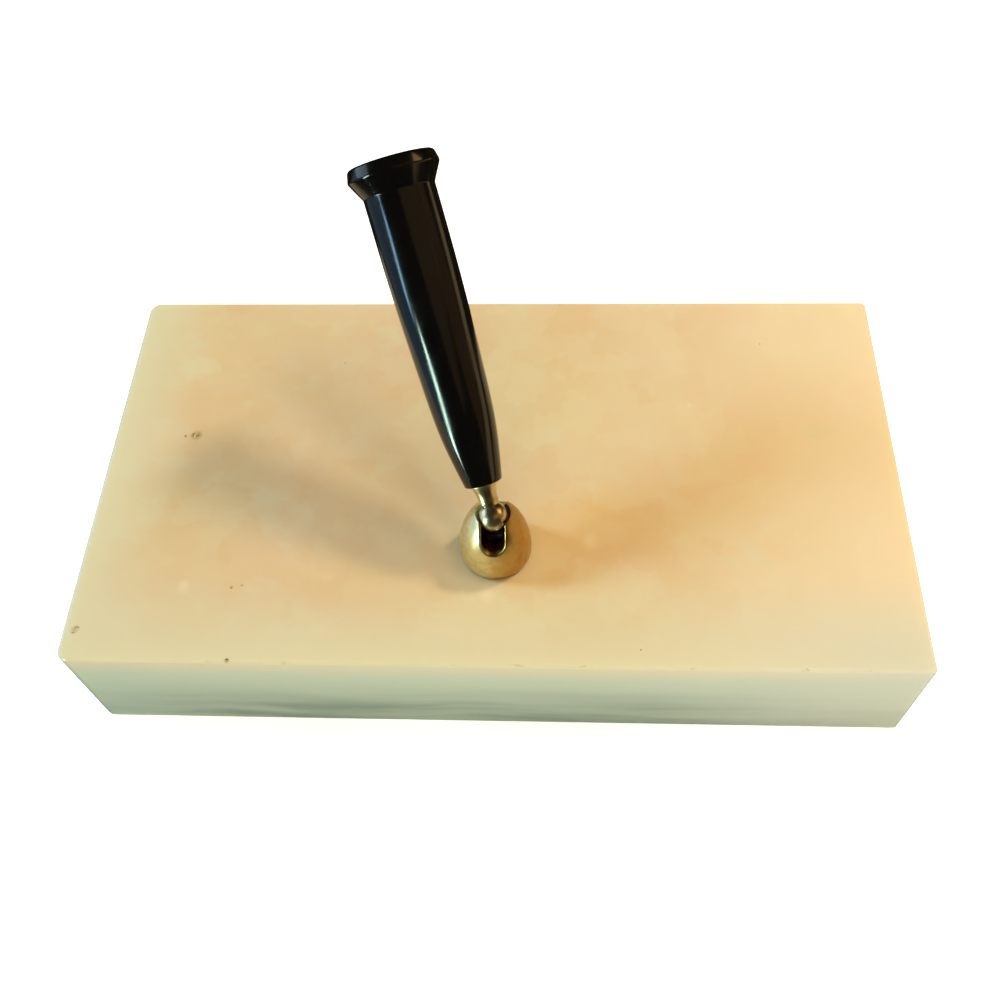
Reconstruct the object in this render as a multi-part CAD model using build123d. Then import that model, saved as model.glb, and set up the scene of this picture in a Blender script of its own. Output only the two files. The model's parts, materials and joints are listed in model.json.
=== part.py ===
from build123d import *
import os
from math import acos, cos, pi, radians, sin, sqrt, tan

# A desk pen stand: a polished stone slab with a ball joint that carries a pen funnel.
# Frame: origin under the middle of the slab on the desk, X to the right, Y to the back, Z up, millimetres.

# --- Driving dimensions -------------------------------------------------------------------------

# Stone slab
SLAB_LENGTH = 203.2
SLAB_DEPTH = 111.8
SLAB_HEIGHT = 34.8
LEFT_CORNER_RADIUS = 3.0
RIGHT_CORNER_RADIUS = 1.2
TOP_EDGE_RADIUS = 0.8
BOTTOM_EDGE_BEVEL = 0.5

# Felt feet
FOOT_DIAMETER = 14.0
FOOT_THICKNESS = 1.5
FOOT_INSET = 14.0

# Where the swivel stands on the slab
SWIVEL_OFF_CENTRE = 0.9
SWIVEL_FROM_FRONT = 30.9

# Hardware under the slab
STUD_DIAMETER = 6.0
STUD_TIP_BEVEL = 0.6
STUD_PAST_NUT = 1.0
STONE_HOLE_DIAMETER = 7.5
RECESS_DIAMETER = 22.0
RECESS_DEPTH = 14.0
CLAMP_WASHER_DIAMETER = 19.0
CLAMP_WASHER_THICKNESS = 1.2
SPRING_WASHER_DIAMETER = 11.0
SPRING_WASHER_THICKNESS = 1.4
SPRING_WASHER_GAP = 0.8
SPRING_WASHER_SLANT = 20.0
NUT_SIDES = 6
NUT_ACROSS_FLATS = 10.0
NUT_HEIGHT = 5.0
NUT_CORNER_BEVEL_ANGLE = 30.0

# Gasket and dome
GASKET_DIAMETER = 15.6
GASKET_THICKNESS = 0.4
DOME_WIDEST_DIAMETER = 17.4
DOME_BASE_DIAMETER = 16.8
DOME_WIDEST_HEIGHT = 1.7
DOME_HEIGHT = 18.4
MOUTH_DIAMETER = 8.2
SLOT_WIDTH = 5.4
SLOT_DROP = 5.4
SLOT_EDGE_RADIUS = 0.4
CROWN_END_DIAMETER = 4.1
CROWN_STEPS = 6

# Ball and what presses on it
BALL_DIAMETER = 7.2
BALL_HEIGHT = 15.05
LIP_ABOVE_BALL = 0.9
SEAT_BELOW_BALL = 2.4
SEAT_FLOOR = 1.2
SEAT_SKIRT = 2.5
SEAT_SKIRT_WALL = 0.7
SPRING_WIRE = 0.7
SPRING_TURNS = 5
SPRING_GRIND = 0.1
SPRING_CLEARANCE = 0.2
PLUG_DIAMETER = 10.0
PLUG_THICKNESS = 3.5
PLUG_WEB = 1.0
SPANNER_HOLE_DIAMETER = 1.1
SPANNER_HOLE_DEPTH = 1.5

# Ball stud, along its own axis from the middle of the ball
NECK_ROOT_DIAMETER = 4.15
NECK_ROOT_TO = 3.7
NECK_DIAMETER = 4.6
NECK_STRAIGHT_TO = 4.2
STUD_FLANGE_DIAMETER = 6.9
STUD_FLANGE_THICKNESS = 0.4
FLARE_DIAMETER = 6.2
SHANK_DIAMETER = 3.6
RIVET_HEAD_DIAMETER = 5.2
RIVET_HEAD_HEIGHT = 1.1
RIVET_HEAD_EDGE = 0.3
RIVET_WASHER_DIAMETER = 6.2
RIVET_WASHER_THICKNESS = 0.6

# Funnel, along the same axis
FUNNEL_START = 8.3
FUNNEL_LENGTH = 74.0
FUNNEL_END_DIAMETER = 8.86
FUNNEL_SHOULDER_DIAMETER = 13.12
FUNNEL_SHOULDER_AT = 12.7
FUNNEL_MIDDLE_DIAMETER = 14.7
FUNNEL_MIDDLE_AT = 25.3
FUNNEL_BODY_DIAMETER = 15.7
FUNNEL_BODY_AT = 38.5
FUNNEL_NECK_DIAMETER = 16.2
RIM_DIAMETER = 20.8
RIM_TOP_DIAMETER = 19.45
RIM_FLARE_HEIGHT = 4.1
RIM_BAND_HEIGHT = 2.7
RIM_EDGE_RADIUS = 0.9
FUNNEL_END_RADIUS = 0.35
FUNNEL_FLOOR = 3.0
CHAMBER_START_DIAMETER = 7.0
CHAMBER_END_DIAMETER = 11.8
MOUTH_FLARE_DIAMETER = 17.8
MOUTH_FLARE_DEPTH = 5.5
LINER_BORE = 12.2
LINER_WALL = 0.4
LINER_LENGTH = 36.0

# How the funnel leans in the photographed pose
LEAN = 46.0
LEAN_TURN = 21.6

# Fits
RUNNING_FIT = 0.08
BORE_FIT = 0.05

# --- Places worked out from the dimensions ------------------------------------------------------

SLAB_TOP = FOOT_THICKNESS + SLAB_HEIGHT
DOME_BASE = SLAB_TOP + GASKET_THICKNESS
RECESS_TOP = FOOT_THICKNESS + RECESS_DEPTH
SWIVEL_X = SWIVEL_OFF_CENTRE
SWIVEL_Y = SWIVEL_FROM_FRONT - SLAB_DEPTH / 2
BALL_RADIUS = BALL_DIAMETER / 2
SEAT_SPHERE = BALL_RADIUS + RUNNING_FIT
SEAT_TOP = BALL_HEIGHT - SEAT_BELOW_BALL
SEAT_UNDERSIDE = BALL_HEIGHT - SEAT_SPHERE - SEAT_FLOOR
STUD_HOLE = STUD_DIAMETER / 2 + RUNNING_FIT
SHANK_HOLE = SHANK_DIAMETER / 2 + RUNNING_FIT
FUNNEL_TOP = FUNNEL_START + FUNNEL_LENGTH
FLOOR_TOP = FUNNEL_START + FUNNEL_FLOOR
LINER_RADIUS = LINER_BORE / 2 + LINER_WALL
LINER_SEAT = FUNNEL_TOP - MOUTH_FLARE_DEPTH - LINER_LENGTH

swivel_place = Pos(SWIVEL_X, SWIVEL_Y, 0)
dome_place = Pos(SWIVEL_X, SWIVEL_Y, DOME_BASE)
ball_place = dome_place * Pos(0, 0, BALL_HEIGHT)
stud_place = ball_place * Rot(0, 0, LEAN_TURN) * Rot(-LEAN, 0, 0)


# --- Helpers ------------------------------------------------------------------------------------

def ring(outer_radius, inner_radius, height):
    """A flat ring standing on Z = 0."""
    rim = Circle(outer_radius) - Circle(inner_radius)
    return extrude(rim, height)


def turned(*edges):
    """A solid of revolution about Z from the closed outline that the edges make in X and Z."""
    return revolve(make_face(Plane.XZ * (Curve() + list(edges))), Axis.Z)


# --- Slab and feet ------------------------------------------------------------------------------

def stone_base():
    """The slab, with the stud's hole and the recess for the nut underneath."""
    block = Pos(0, 0, FOOT_THICKNESS + SLAB_HEIGHT / 2) * Box(SLAB_LENGTH, SLAB_DEPTH, SLAB_HEIGHT)
    uprights = block.edges().filter_by(Axis.Z).sort_by(Axis.X)
    block = fillet(uprights[:2], LEFT_CORNER_RADIUS)
    uprights = block.edges().filter_by(Axis.Z).sort_by(Axis.X)
    block = fillet(uprights[-2:], RIGHT_CORNER_RADIUS)
    block = fillet(block.faces().sort_by(Axis.Z)[-1].edges(), TOP_EDGE_RADIUS)
    block = chamfer(block.faces().sort_by(Axis.Z)[0].edges(), BOTTOM_EDGE_BEVEL)
    hole = extrude(Circle(STONE_HOLE_DIAMETER / 2), SLAB_TOP)
    recess = extrude(Circle(RECESS_DIAMETER / 2), RECESS_TOP)
    return block - swivel_place * (hole + recess)


def felt_feet():
    """One round pad near each corner of the slab."""
    x = SLAB_LENGTH / 2 - FOOT_INSET
    y = SLAB_DEPTH / 2 - FOOT_INSET
    pad = extrude(Circle(FOOT_DIAMETER / 2), FOOT_THICKNESS)
    places = {"front_left": (-x, -y), "front_right": (x, -y), "rear_left": (-x, y), "rear_right": (x, y)}
    return {"felt_foot_" + corner: Pos(*place) * pad for corner, place in places.items()}


# --- Hardware under the slab --------------------------------------------------------------------

def mounting_stud():
    """The rod from the plug in the dome down to just past the nut."""
    top = DOME_BASE + PLUG_THICKNESS - PLUG_WEB
    bottom = nut_bottom() - STUD_PAST_NUT
    rod = Pos(0, 0, bottom) * extrude(Circle(STUD_DIAMETER / 2), top - bottom)
    return swivel_place * chamfer(rod.edges().filter_by(GeomType.CIRCLE), STUD_TIP_BEVEL)


def nut_bottom():
    """Height of the nut's lower face."""
    return RECESS_TOP - CLAMP_WASHER_THICKNESS - SPRING_WASHER_THICKNESS - NUT_HEIGHT


def clamp_washer():
    """The wide flat washer against the roof of the recess."""
    washer = ring(CLAMP_WASHER_DIAMETER / 2, STUD_HOLE, CLAMP_WASHER_THICKNESS)
    return swivel_place * Pos(0, 0, RECESS_TOP - CLAMP_WASHER_THICKNESS) * washer


def spring_washer():
    """The split washer between the flat washer and the nut."""
    outer = SPRING_WASHER_DIAMETER / 2
    washer = ring(outer, STUD_HOLE, SPRING_WASHER_THICKNESS)
    split = Pos(outer, 0, SPRING_WASHER_THICKNESS / 2) * Rot(SPRING_WASHER_SLANT, 0, 0)
    washer -= split * Box(SPRING_WASHER_DIAMETER, SPRING_WASHER_GAP, SPRING_WASHER_DIAMETER)
    return swivel_place * Pos(0, 0, nut_bottom() + NUT_HEIGHT) * washer


def hex_nut():
    """A hexagon nut with both faces bevelled at the corners."""
    corner = NUT_ACROSS_FLATS / 2 / cos(pi / NUT_SIDES)
    drop = (corner - NUT_ACROSS_FLATS / 2) * tan(radians(NUT_CORNER_BEVEL_ANGLE))
    blank = extrude(RegularPolygon(corner, NUT_SIDES), NUT_HEIGHT)
    envelope = turned(
        Polyline(
            (0, 0),
            (NUT_ACROSS_FLATS / 2, 0),
            (corner, drop),
            (corner, NUT_HEIGHT - drop),
            (NUT_ACROSS_FLATS / 2, NUT_HEIGHT),
            (0, NUT_HEIGHT),
            close=True,
        )
    )
    nut = (blank & envelope) - extrude(Circle(STUD_HOLE), NUT_HEIGHT)
    return swivel_place * Pos(0, 0, nut_bottom()) * nut


# --- Dome and what it holds ---------------------------------------------------------------------

def dome_gasket():
    """The fibre washer that the dome turns on."""
    return swivel_place * Pos(0, 0, SLAB_TOP) * ring(GASKET_DIAMETER / 2, STUD_HOLE, GASKET_THICKNESS)


def dome_blank():
    """The egg before it is bored: a short tuck-in under a half ellipse, its tip left off inside the mouth."""
    base = DOME_BASE_DIAMETER / 2
    widest = DOME_WIDEST_DIAMETER / 2
    tall = DOME_HEIGHT - DOME_WIDEST_HEIGHT
    sweep_end = acos(CROWN_END_DIAMETER / 2 / widest)
    angles = [sweep_end * step / CROWN_STEPS for step in range(CROWN_STEPS + 1)]
    points = [(widest * cos(angle), DOME_WIDEST_HEIGHT + tall * sin(angle)) for angle in angles]
    end_slope = (-widest * sin(sweep_end), tall * cos(sweep_end))
    crown = Spline(*points, tangents=[(0, 1), end_slope])
    tuck = TangentArc((widest, DOME_WIDEST_HEIGHT), (base, 0), tangent=(0, -1))
    sides = Polyline((base, 0), (0, 0), (0, points[-1][1]), points[-1])
    return turned(crown, tuck, sides)


def dome_bore():
    """What is bored from below: the plug's thread, then the ball's bore up to its spherical lip."""
    lip_radius = sqrt(SEAT_SPHERE**2 - LIP_ABOVE_BALL**2)
    lip = BALL_HEIGHT + LIP_ABOVE_BALL
    thread = PLUG_DIAMETER / 2 + BORE_FIT
    mid_height = LIP_ABOVE_BALL / 2
    below = Polyline(
        (0, 0),
        (thread, 0),
        (thread, PLUG_THICKNESS),
        (SEAT_SPHERE, PLUG_THICKNESS),
        (SEAT_SPHERE, BALL_HEIGHT),
    )
    seat = ThreePointArc(
        (SEAT_SPHERE, BALL_HEIGHT),
        (sqrt(SEAT_SPHERE**2 - mid_height**2), BALL_HEIGHT + mid_height),
        (lip_radius, lip),
    )
    return turned(below, seat, Polyline((lip_radius, lip), (0, lip), (0, 0)))


def dome_mouth():
    """The round mouth, sunk from the top down to the lip."""
    lip = BALL_HEIGHT + LIP_ABOVE_BALL
    return Pos(0, 0, lip) * extrude(Circle(MOUTH_DIAMETER / 2), DOME_HEIGHT - lip)


def dome_slot():
    """The slot milled straight across the dome, round at the bottom and open at the top."""
    half = SLOT_WIDTH / 2
    arc_centre = BALL_HEIGHT - SLOT_DROP + half
    outline = make_face(
        Polyline((-half, arc_centre), (-half, DOME_HEIGHT), (half, DOME_HEIGHT), (half, arc_centre))
        + ThreePointArc((half, arc_centre), (0, arc_centre - half), (-half, arc_centre))
    )
    return extrude(Plane.XZ * outline, DOME_WIDEST_DIAMETER / 2, both=True)


def swivel_dome():
    """The dome: two cheeks that hold the ball between them, with the slot's outer edges rounded over."""
    shell = dome_blank() - dome_slot() - dome_mouth() - dome_bore()
    inside_slot = SLOT_WIDTH / 2 + RUNNING_FIT
    outside_mouth = MOUTH_DIAMETER / 2
    outer_edges = [
        edge
        for edge in shell.edges().filter_by(GeomType.BSPLINE)
        if abs(edge.center().X) < inside_slot and abs(edge.center().Y) > outside_mouth
    ]
    return dome_place * fillet(outer_edges, SLOT_EDGE_RADIUS)


def dome_plug():
    """The disc screwed into the dome from below, with a blind hole for the stud and two spanner holes."""
    plug = extrude(Circle(PLUG_DIAMETER / 2), PLUG_THICKNESS)
    plug -= extrude(Circle(STUD_HOLE), PLUG_THICKNESS - PLUG_WEB)
    reach = (PLUG_DIAMETER / 2 + STUD_HOLE) / 2
    for side in (-1, 1):
        plug -= Pos(side * reach, 0, 0) * extrude(Circle(SPANNER_HOLE_DIAMETER / 2), SPANNER_HOLE_DEPTH)
    return dome_place * plug


def ball_seat():
    """The cup under the ball: a spherical dish on top and a skirt round the spring below."""
    outer = SEAT_SPHERE - BORE_FIT
    cup = Pos(0, 0, SEAT_UNDERSIDE - SEAT_SKIRT) * extrude(
        Circle(outer), SEAT_TOP - SEAT_UNDERSIDE + SEAT_SKIRT
    )
    cup -= Pos(0, 0, SEAT_UNDERSIDE - SEAT_SKIRT) * extrude(Circle(outer - SEAT_SKIRT_WALL), SEAT_SKIRT)
    cup -= Pos(0, 0, BALL_HEIGHT) * Sphere(SEAT_SPHERE)
    return dome_place * cup


def seat_spring():
    """An open coil spring between the plug and the cup, ground flat at both ends."""
    room = SEAT_UNDERSIDE - PLUG_THICKNESS
    rise = room - SPRING_WIRE + 2 * SPRING_GRIND
    mean = SEAT_SPHERE - BORE_FIT - SEAT_SKIRT_WALL - SPRING_WIRE / 2 - SPRING_CLEARANCE
    path = Helix(pitch=rise / SPRING_TURNS, height=rise, radius=mean)
    wire = sweep(Plane(origin=path @ 0, z_dir=path % 0) * Circle(SPRING_WIRE / 2), path, is_frenet=True)
    wire = Pos(0, 0, PLUG_THICKNESS + SPRING_WIRE / 2 - SPRING_GRIND) * wire
    between = Pos(0, 0, PLUG_THICKNESS) * extrude(Circle(SEAT_SPHERE), room)
    gap = rise / SPRING_TURNS - SPRING_WIRE
    print(f"spring: {SPRING_TURNS} turns, gap between turns {gap:.2f}")
    return dome_place * (wire & between)


# --- Ball stud and funnel, built along Z from the middle of the ball -----------------------------

def ball_stud():
    """The ball, its waisted neck, the flange under the funnel and the riveted shank inside it."""
    root = NECK_ROOT_DIAMETER / 2
    neck = NECK_DIAMETER / 2
    shank = SHANK_DIAMETER / 2
    head = RIVET_HEAD_DIAMETER / 2
    flange_low = FUNNEL_START - STUD_FLANGE_THICKNESS
    root_start = sqrt(BALL_RADIUS**2 - root**2)
    head_low = FLOOR_TOP + RIVET_WASHER_THICKNESS
    head_top = head_low + RIVET_HEAD_HEIGHT
    ball = ThreePointArc((0, -BALL_RADIUS), (BALL_RADIUS, 0), (root, root_start))
    waist = Polyline((root, root_start), (neck, NECK_ROOT_TO), (neck, NECK_STRAIGHT_TO))
    flare = TangentArc((neck, NECK_STRAIGHT_TO), (FLARE_DIAMETER / 2, flange_low), tangent=(0, 1))
    flange = Polyline(
        (FLARE_DIAMETER / 2, flange_low),
        (STUD_FLANGE_DIAMETER / 2, flange_low),
        (STUD_FLANGE_DIAMETER / 2, FUNNEL_START),
        (shank, FUNNEL_START),
        (shank, head_low),
        (head, head_low),
    )
    crown = TangentArc((0, head_top), (head, head_low + RIVET_HEAD_EDGE), tangent=(1, 0))
    sides = Polyline((head, head_low), (head, head_low + RIVET_HEAD_EDGE))
    axis = Line((0, head_top), (0, -BALL_RADIUS))
    return stud_place * turned(ball, waist, flare, flange, sides, crown, axis)


def funnel_outside():
    """The funnel's outer form: a bullet-shaped end, a long slim body and a flared rim."""
    rim_low = FUNNEL_TOP - RIM_BAND_HEIGHT
    crease = rim_low - RIM_FLARE_HEIGHT
    side = Spline(
        (FUNNEL_END_DIAMETER / 2, FUNNEL_START),
        (FUNNEL_SHOULDER_DIAMETER / 2, FUNNEL_START + FUNNEL_SHOULDER_AT),
        (FUNNEL_MIDDLE_DIAMETER / 2, FUNNEL_START + FUNNEL_MIDDLE_AT),
        (FUNNEL_BODY_DIAMETER / 2, FUNNEL_START + FUNNEL_BODY_AT),
        (FUNNEL_NECK_DIAMETER / 2, crease),
    )
    rim = Polyline(
        (FUNNEL_NECK_DIAMETER / 2, crease),
        (RIM_DIAMETER / 2, rim_low),
        (RIM_TOP_DIAMETER / 2, FUNNEL_TOP),
        (0, FUNNEL_TOP),
        (0, FUNNEL_START),
        (FUNNEL_END_DIAMETER / 2, FUNNEL_START),
    )
    body = turned(side, rim)
    rings = body.edges().filter_by(GeomType.CIRCLE).sort_by(Axis.Z)
    body = fillet(rings[-2:], RIM_EDGE_RADIUS)
    return fillet(body.edges().filter_by(GeomType.CIRCLE).sort_by(Axis.Z)[0], FUNNEL_END_RADIUS)


def pen_funnel():
    """The funnel, hollow from its flared mouth down through the liner's bore to the nib chamber."""
    bore = LINER_RADIUS + BORE_FIT
    mouth_low = FUNNEL_TOP - MOUTH_FLARE_DEPTH
    inside = turned(
        Polyline(
            (0, FLOOR_TOP),
            (CHAMBER_START_DIAMETER / 2, FLOOR_TOP),
            (CHAMBER_END_DIAMETER / 2, LINER_SEAT),
            (bore, LINER_SEAT),
            (bore, mouth_low),
            (MOUTH_FLARE_DIAMETER / 2, FUNNEL_TOP),
            (0, FUNNEL_TOP),
            close=True,
        )
    )
    shank_hole = Pos(0, 0, FUNNEL_START) * extrude(Circle(SHANK_HOLE), FUNNEL_FLOOR)
    return stud_place * (funnel_outside() - inside - shank_hole)


def pen_liner():
    """The sleeve that guides the pen, resting on the step at the top of the nib chamber."""
    return stud_place * Pos(0, 0, LINER_SEAT) * ring(LINER_RADIUS, LINER_BORE / 2, LINER_LENGTH)


def rivet_washer():
    """The washer on the funnel's floor under the stud's riveted head."""
    washer = ring(RIVET_WASHER_DIAMETER / 2, SHANK_HOLE, RIVET_WASHER_THICKNESS)
    return stud_place * Pos(0, 0, FLOOR_TOP) * washer


# --- Write the pieces ---------------------------------------------------------------------------

pieces = {
    "stone_base": stone_base(),
    **felt_feet(),
    "dome_gasket": dome_gasket(),
    "clamp_washer": clamp_washer(),
    "swivel_dome": swivel_dome(),
    "dome_plug": dome_plug(),
    "ball_seat": ball_seat(),
    "seat_spring": seat_spring(),
    "mounting_stud": mounting_stud(),
    "spring_washer": spring_washer(),
    "hex_nut": hex_nut(),
    "ball_stud": ball_stud(),
    "rivet_washer": rivet_washer(),
    "pen_funnel": pen_funnel(),
    "pen_liner": pen_liner(),
}

os.makedirs("parts", exist_ok=True)
for name, piece in pieces.items():
    export_step(piece, f"parts/{name}.step")
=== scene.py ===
"""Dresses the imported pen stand: an onyx slab, a satin brass swivel, a turned ball stud and a pen funnel.

Lengths in the tables are in millimetres unless the comment above them says metres. The scene is in metres.
"""

import json
from math import acos, asin, cos, degrees, pi, radians, sin, tan

import bmesh
import bpy
import numpy as np
from bpy.props import FloatProperty, FloatVectorProperty, IntProperty, PointerProperty
from mathutils import Matrix, Quaternion, Vector, noise


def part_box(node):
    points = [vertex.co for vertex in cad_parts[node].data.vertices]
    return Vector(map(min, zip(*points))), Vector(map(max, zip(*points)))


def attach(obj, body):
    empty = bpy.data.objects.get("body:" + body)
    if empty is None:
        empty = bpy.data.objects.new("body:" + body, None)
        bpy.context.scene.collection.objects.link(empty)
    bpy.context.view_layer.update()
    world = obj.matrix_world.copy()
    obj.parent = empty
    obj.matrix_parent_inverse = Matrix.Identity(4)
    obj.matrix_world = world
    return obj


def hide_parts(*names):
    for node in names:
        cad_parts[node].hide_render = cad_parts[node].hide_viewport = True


bl_info = {
    "name": "Onyx Pen Stand",
    "version": (1, 0, 0),
    "blender": (4, 5, 0),
    "location": "3D View > Sidebar > Pen Stand",
    "description": "Builds an onyx pen stand with a brass swivel and a black funnel round its packed frame",
    "category": "Object",
}

MM = 0.001

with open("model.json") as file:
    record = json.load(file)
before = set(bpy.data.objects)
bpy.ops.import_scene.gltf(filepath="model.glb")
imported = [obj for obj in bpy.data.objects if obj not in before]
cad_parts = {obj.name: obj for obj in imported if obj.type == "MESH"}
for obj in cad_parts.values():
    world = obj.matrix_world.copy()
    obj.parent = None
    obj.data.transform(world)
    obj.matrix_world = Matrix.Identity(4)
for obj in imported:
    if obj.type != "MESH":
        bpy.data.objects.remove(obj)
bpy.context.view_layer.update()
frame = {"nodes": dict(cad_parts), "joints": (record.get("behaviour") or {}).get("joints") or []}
joints = {joint["name"]: joint for joint in frame["joints"]}
BALL_CENTRE = Vector(joints["funnel_spin"]["pos_m"])
FUNNEL_AXIS = Vector(joints["funnel_spin"]["axis"]).normalized()
SLAB_LOW, SLAB_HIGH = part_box("stone_base")
SLAB_LEFT, SLAB_FRONT, SLAB_FOOT = SLAB_LOW / MM
SLAB_RIGHT, SLAB_TOP = SLAB_HIGH.x / MM, SLAB_HIGH.z / MM
DOME_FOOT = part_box("swivel_dome")[0].z
STUD_PLACE = Matrix.Translation(BALL_CENTRE) @ FUNNEL_AXIS.to_track_quat("Z", "Y").to_matrix().to_4x4()


# --- Small tools ----------------------------------------------------------------------------------


def linear(hex_colour):
    """An sRGB hex colour as the linear red, green and blue that a shader takes."""
    channels = [int(hex_colour[i : i + 2], 16) / 255 for i in (1, 3, 5)]
    return tuple(c / 12.92 if c <= 0.04045 else ((c + 0.055) / 1.055) ** 2.4 for c in channels)


def rgba(colour):
    """A linear colour with full opacity."""
    return (*colour, 1.0)


def add_node(tree, kind, inputs=None, **settings):
    """Adds a node, sets its settings, and fills its inputs with values or with links from other nodes."""
    node = tree.nodes.new(kind)
    for name, value in settings.items():
        setattr(node, name, value)
    for name, value in (inputs or {}).items():
        if isinstance(value, bpy.types.NodeSocket):
            tree.links.new(value, node.inputs[name])
        else:
            node.inputs[name].default_value = value
    return node


def new_material(name):
    """A material with a Principled shader and an output, and the tree to build in."""
    material = bpy.data.materials.new(name)
    material.use_nodes = True
    tree = material.node_tree
    tree.nodes.clear()
    shader = add_node(tree, "ShaderNodeBsdfPrincipled")
    add_node(tree, "ShaderNodeOutputMaterial", {"Surface": shader.outputs["BSDF"]})
    return material, tree, shader


def finish_mesh(bm, name, material, crease_angle=30.0):
    """Turns a bmesh into an object with smooth faces that stay sharp across steep edges."""
    mesh = bpy.data.meshes.new(name)
    bm.to_mesh(mesh)
    bm.free()
    mesh.shade_smooth()
    mesh.set_sharp_from_angle(angle=radians(crease_angle))
    mesh.materials.append(material)
    piece = bpy.data.objects.new(name, mesh)
    bpy.context.scene.collection.objects.link(piece)
    return piece


def lathe(outline, turns, closed=False):
    """Spins an outline of (radius, height) points about Z, from axis to axis or as a closed loop."""
    bm = bmesh.new()
    rings = []
    for radius, height in outline:
        count = turns if radius > 1e-6 else 1
        angles = [2 * pi * i / count for i in range(count)]
        places = [Vector((radius * cos(a), radius * sin(a), height)) * MM for a in angles]
        rings.append([bm.verts.new(place) for place in places])
    if closed:
        rings.append(rings[0])
    for low, high in zip(rings, rings[1:]):
        for i in range(turns):
            below = [low[i % len(low)], low[(i + 1) % len(low)]]
            above = [high[(i + 1) % len(high)], high[i % len(high)]]
            corners = list(dict.fromkeys(below + above))
            if len(corners) > 2:
                bm.faces.new(corners)
    bmesh.ops.recalc_face_normals(bm, faces=bm.faces)
    return bm


def rounded(points, steps=5):
    """An outline whose corners, given as (radius, height, rounding), become short arcs."""
    path = []
    for i, (r, z, rounding) in enumerate(points):
        if rounding <= 0:
            path.append((r, z))
            continue
        corner = Vector((r, z))
        back = (Vector(points[i - 1][:2]) - corner).normalized()
        ahead = (Vector(points[(i + 1) % len(points)][:2]) - corner).normalized()
        half = back.angle(ahead) / 2
        turn = pi - 2 * half
        centre = corner + (back + ahead).normalized() * rounding / sin(half)
        start = corner + back * rounding / tan(half) - centre
        end = corner + ahead * rounding / tan(half) - centre
        for step in range(steps + 1):
            part = turn * step / steps
            path.append(tuple(centre + (start * sin(turn - part) + end * sin(part)) / sin(turn)))
    return path


def arc(centre, radius, start, end, steps):
    """Points round an arc in the outline's plane, angles in degrees from the radius axis."""
    angles = [radians(start + (end - start) * i / steps) for i in range(steps + 1)]
    return [(centre[0] + radius * cos(a), centre[1] + radius * sin(a)) for a in angles]


def fair_curve(points, steps):
    """Points along the fair curve through a few given ones, a natural cubic over the chord lengths."""
    fixed = np.array(points, float)
    at = np.concatenate([[0.0], np.cumsum(np.linalg.norm(np.diff(fixed, axis=0), axis=1))])
    gap = np.diff(at)
    count = len(at)
    system = np.eye(count)
    bend = np.zeros_like(fixed)
    for i in range(1, count - 1):
        system[i, i - 1 : i + 2] = gap[i - 1], 2 * (gap[i - 1] + gap[i]), gap[i]
        bend[i] = 6 * ((fixed[i + 1] - fixed[i]) / gap[i] - (fixed[i] - fixed[i - 1]) / gap[i - 1])
    bend = np.linalg.solve(system, bend)
    path = []
    for s in np.linspace(0, at[-1], steps + 1):
        i = min(int(np.searchsorted(at, s, side="right")) - 1, count - 2)
        a, b = at[i + 1] - s, s - at[i]
        path.append(
            tuple(
                (bend[i] * a**3 + bend[i + 1] * b**3) / (6 * gap[i])
                + (fixed[i] / gap[i] - bend[i] * gap[i] / 6) * a
                + (fixed[i + 1] / gap[i] - bend[i + 1] * gap[i] / 6) * b
            )
        )
    return path


# --- Settings -------------------------------------------------------------------------------------


def length_setting(name, description, default_mm):
    """A length property with its default in millimetres."""
    return FloatProperty(
        name=name, description=description, default=default_mm * MM, unit="LENGTH", subtype="DISTANCE"
    )


def colour_setting(name, description, default_hex):
    """A colour property with its default as an sRGB hex value."""
    return FloatVectorProperty(
        name=name, description=description, default=linear(default_hex), subtype="COLOR", min=0.0, max=1.0
    )


class SlabSettings(bpy.types.PropertyGroup):
    """The onyx slab's edges and colours."""

    left_corner: length_setting("Left Corner Radius", "Rounding of the left upright edges", 3.0)
    right_corner: length_setting("Right Corner Radius", "Rounding of the right upright edges", 1.2)
    top_edge: length_setting("Top Edge Radius", "Rounding of the top edges", 0.8)
    bottom_edge: length_setting("Bottom Edge Bevel", "Bevel of the bottom edges", 0.5)
    honey: colour_setting("Honey", "The stone's main warm tone", "#E7CE9D")
    beige: colour_setting("Beige", "The paler clouds in the honey", "#E9CCA7")
    # Also the colour of the painted amber shadow beside the dome; the streak towards the rear right corner
    # is partly painted shadow
    amber: colour_setting("Amber", "The deeper streak towards the rear right corner", "#E8C07A")
    blush: colour_setting("Blush", "The pale warm margin along the right edge", "#F6E3C0")
    cream: colour_setting("Cream", "The pale green margin along the left and front edges", "#E1DBB8")
    # The sides' grey green is partly the stone's colour and partly a painted tint of the cool window light
    sage: colour_setting("Sage", "The grey green layers that show on the sides", "#C3D3BB")
    pearl: colour_setting("Pearl", "The pale ends of the layers", "#DCDCC8")
    slate: colour_setting("Slate", "The darker layers near the bottom", "#8B9B8B")
    tan: colour_setting("Tan", "The duller crystals in the honey", "#D8B98A")
    stain: colour_setting("Stain", "Iron stain in the pits", "#8A6B3C")


class MetalSettings(bpy.types.PropertyGroup):
    """The metals' colours."""

    brass: colour_setting("Satin Brass", "Colour of the dome", "#BE9C5C")
    # Partly wear from hands, partly a painted sheen standing in for the light on the dome's left
    rubbed: colour_setting("Rubbed Brass", "Colour of the dome where hands have rubbed it", "#E6DDAE")
    # Darkens the slot's inner walls: partly tarnished brass, partly painted shade in the recess
    tarnish_and_shade: colour_setting("Tarnished Brass", "Colour of the walls inside the dome's slot", "#84583E")
    nickel: colour_setting("Nickel Silver", "Colour of the ball stud", "#D6CBA8")
    turns: IntProperty(name="Turns", description="Facets round the ball stud", default=96, min=24, max=512)


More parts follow.
